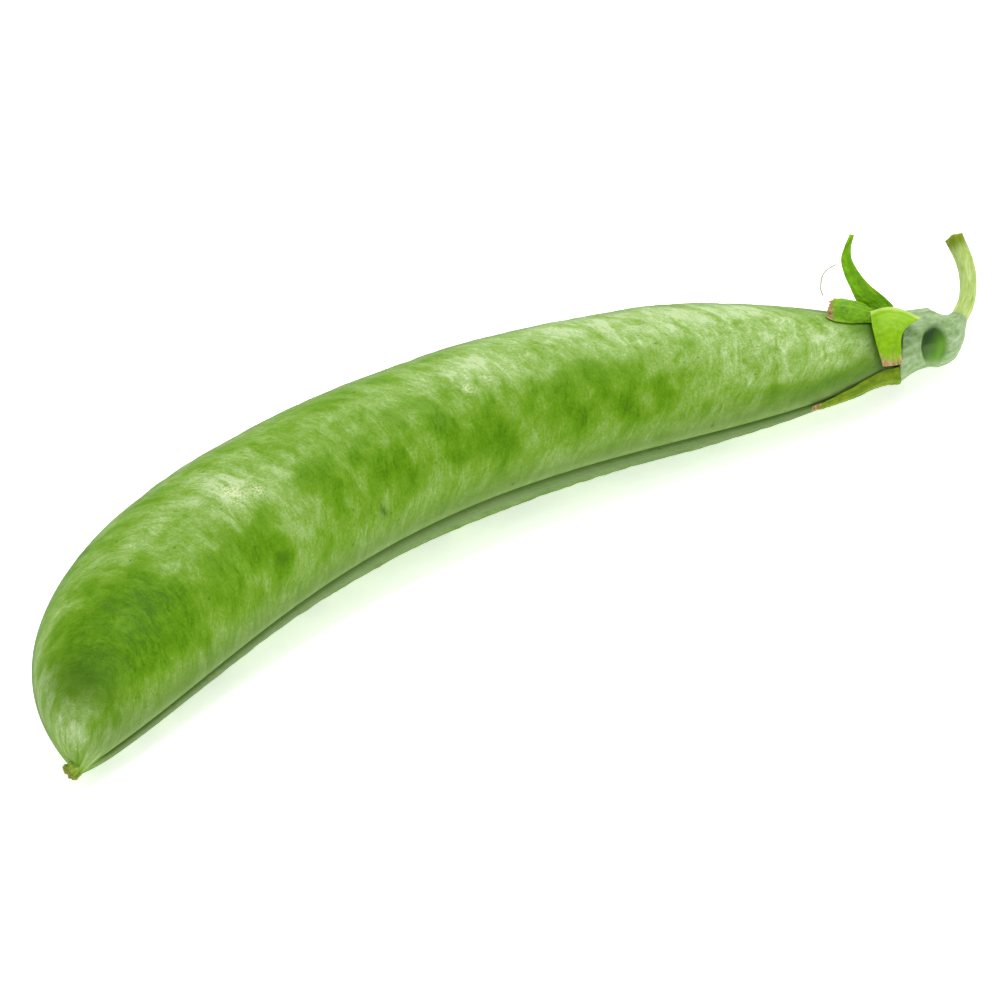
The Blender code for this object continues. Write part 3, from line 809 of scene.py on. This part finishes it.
def wall_marks(at):
    """The values that the skin's material reads, each for every point of the wall."""
    groove, rib, keel = seam_shapes(at)
    band = worn_band(at, *BELLY_BAND) * smoothstep(at.travelled, *BELLY_BAND_START)
    band = band + worn_band(at, *BACK_BAND)
    # The painted shade by the belly seam is deeper on the face that is down.
    shade = np.where(at.side < 0, UNDER_SHADE_DOWN, UNDER_SHADE_UP)
    return {"pod_place": at.place,
            "groove": np.maximum(groove, KEEL_SHADE * keel),
            "rib_highlight": RIB_HIGHLIGHT * rib,
            "rubbed_and_shade": np.maximum(marked(at, RUBBED_AND_SHADE_PATCHES), band),
            "bloom_and_sheen": marked(at, BLOOM_AND_SHEEN_PATCHES),
            "dull_and_shade": marked(at, DULL_AND_SHADE_PATCHES),
            "under": smoothstep(at.from_belly, *UNDER_FADE) * shade * at.room,
            "scar": marked(at, SCARS) * (at.side > 0),
            "nick": marked(at, NICKS) * (at.side > 0)}


def press_flat(points):
    """Lift the lowest points, as the pod rests, to one level plane."""
    height = points @ UP
    floor = -PLAN_ORIGIN[2]
    return points + np.maximum(0.0, floor - height)[..., None] * UP


def neck_stump(neck):
    """Rings that carry the neck on into the cup and narrow as they go, the innermost first."""
    inward = unit(np.array(STALK_LINE[1]) - np.array(STALK_LINE[0]))
    centre = neck.mean(axis=0)
    stump = []
    for amount in np.linspace(1.0, 1.0 / STUMP_RINGS, STUMP_RINGS):
        size = 1.0 + (NECK_STUMP_END - 1.0) * amount
        stump.append(centre + inward * NECK_STUMP_LENGTH * amount + (neck - centre) * size)
    return np.array(stump)


def build_pod():
    """Add the pod's wall and return its surface, for the sepals to lie on."""
    rings, centre = pod_sections()
    at = wall_places(rings, centre)
    rings = rings + ring_normals(rings) * wall_relief(at)[:, :, None]
    rings = press_flat(np.concatenate([neck_stump(rings[0]), rings]))
    values = {key: np.concatenate([np.repeat(numbers[:1], STUMP_RINGS, axis=0), numbers])
              for key, numbers in wall_marks(at).items()}
    add_piece("pod_wall", tube_mesh("pod_wall", rings, values), pod_material(), ["pod"])
    return outer_surface(rings)


# ---- The calyx and the stubs

def row_frame(direction):
    """Two directions square to a line: towards the back seam, and up."""
    sideways = unit(np.cross((0.0, 0.0, 1.0), direction))
    return sideways, np.cross(direction, sideways)


def sweep(line, start, end, rings, sides, radius):
    """Rings of points along a line, and for each point its distance along it and its angle's cosine and
    sine. radius(distance, angles) gives each ring's radii."""
    travelled = distances_along(line)
    directions = np.gradient(line, axis=0)
    angles = 2.0 * math.pi * np.arange(sides) / sides
    cosine, sine = np.cos(angles)[:, None], np.sin(angles)[:, None]
    made, places = [], []
    for distance in np.linspace(start, end, rings):
        centre = np.array([np.interp(distance, travelled, line[:, axis]) for axis in range(3)])
        direction = np.array([np.interp(distance, travelled, directions[:, axis]) for axis in range(3)])
        sideways, upward = row_frame(unit(direction))
        made.append(centre + radius(distance, angles)[:, None] * (cosine * sideways + sine * upward))
        places.append(np.concatenate([np.full((sides, 1), distance), cosine, sine], axis=1))
    return np.array(made), np.array(places)


def cup_radii(distance, angles):
    """The cup's outer radius around a section: full towards the back, waisted and heeled at the belly."""
    back = np.interp(distance, *zip(*CUP_BACK_RADIUS))
    belly = np.interp(distance, *zip(*CUP_BELLY_RADIUS))
    towards_back = 0.5 + 0.5 * np.cos(angles)
    radii = belly + (back - belly) * towards_back
    radii = radii * (1.0 - (1.0 - CUP_FLATTENING) * np.sin(angles) ** 2)
    fade = smoothstep(CUP_LENGTH - distance, *CUP_RIB_FADE)
    return radii + CUP_RIB_HEIGHT * fade * np.cos(CUP_RIBS * angles)


def cup_inner_radii(distance, angles):
    """The radius of the cup's inside, by the distance from its rim."""
    return cup_radii(0.0, angles) - CUP_WALL - CUP_INNER_TAPER * distance


def smooth_rings(rings, passes):
    """Even the rings out along the piece, ends kept."""
    for _ in range(passes):
        rings[1:-1] = 0.25 * rings[:-2] + 0.5 * rings[1:-1] + 0.25 * rings[2:]
    return rings


def slanted(rings, places):
    """Draw the cup's rim out along the belly seam, the more the nearer it is to the rim."""
    towards_belly = 0.5 - 0.5 * places[:, :, 1]
    nearness = np.maximum(0.0, 1.0 - places[:, :, 0] / CUP_SLANT_LENGTH) ** 2
    reach = towards_belly ** CUP_SLANT_POWER * nearness
    return rings + reach[:, :, None] * np.array(CUP_SLANT)


def hollow_shape(points):
    """The oval hollow in the cup, from 0 outside it to 1, and how far to its right and down a point is,
    0 to 1, where its painted shade is lighter.
    """
    right, up, back = view_axes()
    offset = points - np.array(HOLLOW_CENTRE)
    oval = np.hypot(offset @ right / HOLLOW_HALF_WIDTH, offset @ up / HOLLOW_HALF_HEIGHT)
    hollow = smoothstep(oval, *HOLLOW_EDGE) * smoothstep(offset @ back, *HOLLOW_REACH)
    return hollow, 0.5 + 0.5 * np.clip(offset @ right - 0.5 * (offset @ up), -1.0, 1.0)


def build_cup():
    """The calyx cup: its outside from the stalk to the rim, then its inside down to the floor."""
    line = smooth_line(STALK_LINE, STALK_STEPS)
    outside, places = sweep(line, CUP_LENGTH, 0.0, CUP_RINGS, CUP_SIDES, cup_radii)
    outside = slanted(smooth_rings(outside, CUP_SMOOTHING), places)
    hollow, hollow_lit_side = hollow_shape(outside)
    relief = CUP_PITS * noise_at(outside, CUP_PIT_SIZE, seed=2.0) - HOLLOW_DEPTH * hollow
    outside = outside + ring_normals(outside) * relief[:, :, None]
    inside, inner_places = sweep(line, 0.0, CUP_DEPTH, CUP_INNER_RINGS, CUP_SIDES, cup_inner_radii)
    plain = np.zeros(inside.shape[:2])
    values = {"cup_place": np.concatenate([places, inner_places]),
              "hollow": np.concatenate([hollow, plain]),
              "hollow_lit_side": np.concatenate([hollow_lit_side, plain])}
    rings = np.concatenate([outside, slanted(inside, inner_places)])
    add_piece("calyx_tube", tube_mesh("calyx_tube", rings, values), cup_material(), ["calyx_cup"])


def build_stalk():
    """The hooked stalk: ridged along its length and torn at its cut end."""
    line = smooth_line(STALK_LINE, STALK_STEPS)
    length = distances_along(line)[-1]
    start = CUP_LENGTH - STALK_INSET

    def radius(distance, angles):
        amount = (distance - start) / (length - start)
        size = STALK_RADIUS + (STALK_END_RADIUS - STALK_RADIUS) * amount ** 3
        return size + sum(height * np.cos(count * angles + phase + twist * distance)
                          for height, count, phase, twist in STALK_RIDGES)

    rings, places = sweep(line, start, length, STALK_RINGS, STALK_SIDES, radius)
    pits = STALK_PITS * noise_at(rings, STALK_PIT_SIZE, seed=4.0)
    rings = rings + ring_normals(rings) * pits[:, :, None]
    fade_start, fade_end = STALK_CUT_FADE
    cut = smoothstep(places[:, :, 0], length - fade_start, length - fade_end)
    torn = STALK_TEAR * noise_at(rings, STALK_TEAR_SIZE, seed=9.0)
    torn = torn * smoothstep(places[:, :, 0], length - STALK_TEAR_LENGTH, length)
    direction = unit(line[-1] - line[-2])
    rings = rings + torn[:, :, None] * direction
    core = rings[-1].mean(axis=0)
    lips = [core + (rings[-1] - core) * size - direction * depth for size, depth in STALK_LIPS]
    values = {"cup_place": np.concatenate([places] + [places[-1:]] * len(lips)),
              "cut": np.concatenate([cut, np.ones((len(lips), STALK_SIDES))])}
    mesh = tube_mesh("stalk_hook", np.concatenate([rings, np.array(lips)]), values)
    add_piece("stalk_hook", mesh, stalk_material(), ["stalk"])


def build_style():
    """The dry stub of the style at the pod's tip, lumpy and broken off unevenly."""
    line = np.linspace(STYLE_START, STYLE_END, STYLE_RINGS)
    length = distances_along(line)[-1]

    def radius(distance, angles):
        oval = 1.0 / np.hypot(np.cos(angles), np.sin(angles) / STYLE_FLATTENING)
        return np.interp(distance / length, *zip(*STYLE_RADIUS)) * oval

    rings, places = sweep(line, 0.0, length, STYLE_RINGS, STYLE_SIDES, radius)
    lumps = STYLE_LUMPS * noise_at(rings, STYLE_LUMP_SIZE, seed=6.0)
    rings = rings + ring_normals(rings) * lumps[:, :, None]
    end = smoothstep(places[:, :, 0], length - STYLE_CUT_LENGTH, length)
    rings[:, :, 0] += end * STYLE_TEAR * noise_at(rings, STYLE_TEAR_SIZE, seed=2.5)
    mesh = tube_mesh("style_nub", rings, {"cup_place": places, "cut": end})
    add_piece("style_nub", mesh, style_material(), ["style_stub"])


def build_thread():
    """The withered stamen thread."""
    line = smooth_line(THREAD_LINE, THREAD_STEPS)

    def radius(distance, angles):
        return THREAD_RADIUS + THREAD_RIDGE * np.cos(THREAD_TWIST * distance + angles)

    rings, places = sweep(line, 0.0, distances_along(line)[-1], THREAD_RINGS, THREAD_SIDES, radius)
    mesh = tube_mesh("stamen_hair", rings, {"cup_place": places})
    add_piece("stamen_hair", mesh, thread_material(), ["stamen_thread"])


# ---- The sepals

def smooth_grid(rows, row_steps, column_steps):
    """A smooth surface through a few rows of points."""
    across = np.array([smooth_line(row, column_steps) for row in rows])
    columns = [smooth_line(list(across[:, column]), row_steps) for column in range(across.shape[1])]
    return np.stack(columns, axis=1)


def blurred(grid, passes):
    """A grid of vectors, evened out with its neighbours."""
    for _ in range(passes):
        for axis in (0, 1):
            padded = np.concatenate([grid.take([0], axis), grid, grid.take([-1], axis)], axis)
            size = grid.shape[axis]
            before = padded.take(range(size), axis)
            after = padded.take(range(2, size + 2), axis)
            grid = 0.25 * before + 0.5 * grid + 0.25 * after
    return grid


def laid_on(points, surface):
    """Points that would be inside the pod, or touch it, move out to the sepals' clearance."""
    push = np.zeros_like(points)
    for index in np.ndindex(points.shape[:2]):
        point = Vector(points[index])
        nearest, normal, _, _ = surface.find_nearest(point)
        offset = point - nearest
        inside = offset.dot(normal) < INSIDE_COSINE * offset.length
        if inside or offset.length < SEPAL_CLEARANCE:
            push[index] = nearest + normal * SEPAL_CLEARANCE - point
    return points + blurred(push, PUSH_BLURS)


def blade_faces(rows, columns):
    """The faces of a closed blade: a front grid, a back grid after it, and the band round their edges."""
    total = rows * columns
    faces = []
    for row in range(rows - 1):
        for column in range(columns - 1):
            first = row * columns + column
            faces.append((first, first + 1, first + columns + 1, first + columns))
            faces.append(tuple(total + corner for corner in faces[-1][::-1]))
    edge = list(range(columns))
    edge += [row * columns + columns - 1 for row in range(1, rows)]
    edge += [(rows - 1) * columns + column for column in range(columns - 2, -1, -1)]
    edge += [row * columns for row in range(rows - 2, 0, -1)]
    for start, end in zip(edge, edge[1:] + edge[:1]):
        faces.append((end, start, start + total, end + total))
    return faces


def torn_tip(points, place, along, ragged):
    """How far each point moves along the blade for an uneven tip."""
    direction = unit(points[-1].mean(axis=0) - points[-TEAR_ROWS].mean(axis=0))
    torn = ragged * noise_at(place, TEAR_SIZE, seed=6.0) * smoothstep(along, TEAR_START, 1.0)
    return torn[:, :, None] * direction


def blade_marks(place, along, across, dry_from, dry_side, edge_highlight):
    """Where the blade is dry, and where a painted highlight lies along its first column's edge."""
    tip = along + MARGIN_WANDER * noise_at(place, MARGIN_SIZE, seed=4.4)
    dry = smoothstep(tip, dry_from, dry_from + DRYING_LENGTH)
    if dry_side:
        side = dry_side * across + DRY_SIDE_WANDER * noise_at(place, CRUMPLE_SIZE, seed=8.4)
        dry = np.maximum(dry, smoothstep(side, *DRY_SIDE_EDGE))
    first_side = MARGIN_WANDER * noise_at(place, MARGIN_SIZE, seed=2.2) - across
    return dry, edge_highlight * smoothstep(first_side, *FOLD_HIGHLIGHT_EDGE)


def build_sepal(name, node, wall, greens, seed, dry_from, dry_side=0.0, thickness=0.16, waves=0.1,
                ragged=0.0, edge_highlight=0.0):
    """One sepal: a thin closed blade with a midrib, side veins and an uneven edge.

    It turns dry past dry_from, from 0 at its base to 1 at its tip, and along its last column by dry_side.
    Its edge waves and its tip is ragged by the given millimetres. Its last argument pales its first
    column's edge with a painted highlight.
    """
    rows = SEPAL_GRIDS[node]
    steps = SEPAL_STEPS_ALONG // (len(rows) - 1), SEPAL_STEPS_ACROSS // (len(rows[0]) - 1)
    points = smooth_grid(rows, *steps)
    shape = points.shape[:2]
    along = np.linspace(0.0, 1.0, shape[0])[:, None] + np.zeros(shape)
    across = np.linspace(-1.0, 1.0, shape[1])[None, :] + np.zeros(shape)
    length = np.linalg.norm(np.diff(points, axis=0), axis=2).mean(axis=1).sum()
    width = np.linalg.norm(points[:, 0] - points[:, -1], axis=1)[:, None]
    place = np.stack([along * length, across * width / 2.0, np.full(shape, seed)], axis=2)

    rim = smoothstep(np.abs(across), EDGE_START, 1.0)
    midrib = bump(across, MIDRIB_WIDTH)
    vein_line = place[:, :, 0] - SIDE_VEIN_SLANT * np.abs(place[:, :, 1])
    wander = SIDE_VEIN_WANDER * noise_at(place, SIDE_VEIN_WANDER_SIZE, seed=1.0)
    off_veins = np.abs(np.sin(vein_line * SIDE_VEIN_RATE + wander))
    relief = MIDRIB_HEIGHT * midrib - SIDE_VEIN_DEPTH * (1.0 - off_veins) ** 2 * (1.0 - rim)
    relief += waves * rim * noise_at(place, WAVE_SIZE, seed=3.0)
    relief += CRUMPLE_HEIGHT * noise_at(place, CRUMPLE_SIZE, seed=5.0)

    normals = sheet_normals(points, SEPAL_MIDDLE)
    back = points + normals * relief[:, :, None]
    if ragged:
        back = back + torn_tip(points, place, along, ragged)
    back = laid_on(back, wall)
    edge = np.minimum(1.0 - np.abs(across), np.minimum(along + 0.1, 1.0 - along) * 2.0)
    thick = thickness * (EDGE_THINNING + (1.0 - EDGE_THINNING) * smoothstep(edge, 0.0, EDGE_TAPER))
    front = back + normals * thick[:, :, None]

    dry, fold_highlight = blade_marks(place, along, across, dry_from, dry_side, edge_highlight)
    rib = np.maximum(midrib, 0.5 * (1.0 - off_veins) ** 3)
    values = {key: np.concatenate([numbers.ravel()] * 2)
              for key, numbers in {"dry": dry, "rib": rib, "fold_highlight": fold_highlight}.items()}
    values["leaf_place"] = np.concatenate([place.reshape(-1, 3)] * 2)
    points = np.concatenate([front.reshape(-1, 3), back.reshape(-1, 3)])
    mesh = make_mesh(name, points, blade_faces(*shape), values)
    add_piece(name, mesh, sepal_material(name, greens), [node])


# ---- The stage

def set_camera():
    """The camera looks down at the plan from its own azimuth and elevation, and rests with the pod."""
    right, up, back = view_axes()
    place = to_row(np.array(CAMERA_TARGET) + back * CAMERA_DISTANCE)
    axes = REST @ np.stack([right, up, back], axis=1)
    data = bpy.data.cameras.new("camera")
    data.lens = CAMERA_LENS
    data.sensor_width = CAMERA_SENSOR
    data.clip_start, data.clip_end = CAMERA_CLIP
    camera = bpy.data.objects.new("camera", data)
    camera.matrix_world = Matrix.Translation(Vector(place)) @ Matrix(axes.tolist()).to_4x4()
    bpy.context.scene.collection.objects.link(camera)
    bpy.context.scene.camera = camera


def add_light(name, place, size, power, colour):
    """A square soft light that faces the pod."""
    data = bpy.data.lights.new(name, "AREA")
    data.shape = "SQUARE"
    data.size = size
    data.energy = power
    data.color = colour
    light = bpy.data.objects.new(name, data)
    light.location = place
    light.rotation_euler = (-Vector(place)).to_track_quat("-Z", "Y").to_euler()
    bpy.context.scene.collection.objects.link(light)


def set_lights():
    """An even white surround and the soft lights, with colours shown as they are."""
    world = bpy.data.worlds.new("studio")
    world.use_nodes = True
    background = world.node_tree.nodes["Background"]
    background.inputs["Color"].default_value = (1.0, 1.0, 1.0, 1.0)
    background.inputs["Strength"].default_value = WORLD_STRENGTH
    bpy.context.scene.world = world
    for name, light in LIGHTS.items():
        add_light(name, **light)
    bpy.context.scene.view_settings.view_transform = "Standard"


def set_floor():
    """White paper that glows a little, so that shadows on it stay faint, with its far edges turned up."""
    look = Shading("floor_paper")
    grain = look.noise(look.node("TexCoord").outputs["Object"], scale=900.0, detail=2.0)
    look.set(Base_Color=look.ramp(grain, FLOOR_GREYS), Roughness=0.9, Specular_IOR_Level=0.1)
    look.set(Emission_Color=(1.0, 1.0, 1.0), Emission_Strength=FLOOR_GLOW)
    half = FLOOR_HALF_SIZE
    corners = [(-half, -half), (half, -half), (half, half), (-half, half)]
    points = [(x, y, z) for z in (0.0, FLOOR_RIM) for x, y in corners]
    faces = [(0, 1, 2, 3), (0, 1, 5, 4), (1, 2, 6, 5), (2, 3, 7, 6), (3, 0, 4, 7)]
    mesh = bpy.data.meshes.new("floor")
    mesh.from_pydata(points, [], faces)
    mesh.materials.append(look.material)
    floor = bpy.data.objects.new("floor", mesh)
    bpy.context.scene.collection.objects.link(floor)


set_camera()
set_lights()
set_floor()
wall = build_pod()
build_cup()
build_stalk()
build_style()
build_thread()
build_sepal("sepal_broad", "sepal_front", wall, FRESH_GREENS, seed=1.0, dry_from=GREEN_TO_THE_TIP,
            dry_side=1.0, thickness=0.2, waves=0.06, edge_highlight=1.0)
build_sepal("sepal_dry_tip", "sepal_back", wall, DEEP_GREENS, seed=2.0, dry_from=0.8, waves=0.16,
            ragged=0.5)
build_sepal("sepal_long", "sepal_belly", wall, OLIVE_GREENS, seed=3.0, dry_from=0.78, dry_side=1.35,
            waves=0.16)
build_sepal("sepal_lower", "sepal_under", wall, DEEP_GREENS, seed=4.0, dry_from=0.9)
build_sepal("sepal_horn", "sepal_upright", wall, DEEP_GREENS, seed=5.0, dry_from=GREEN_TO_THE_TIP)
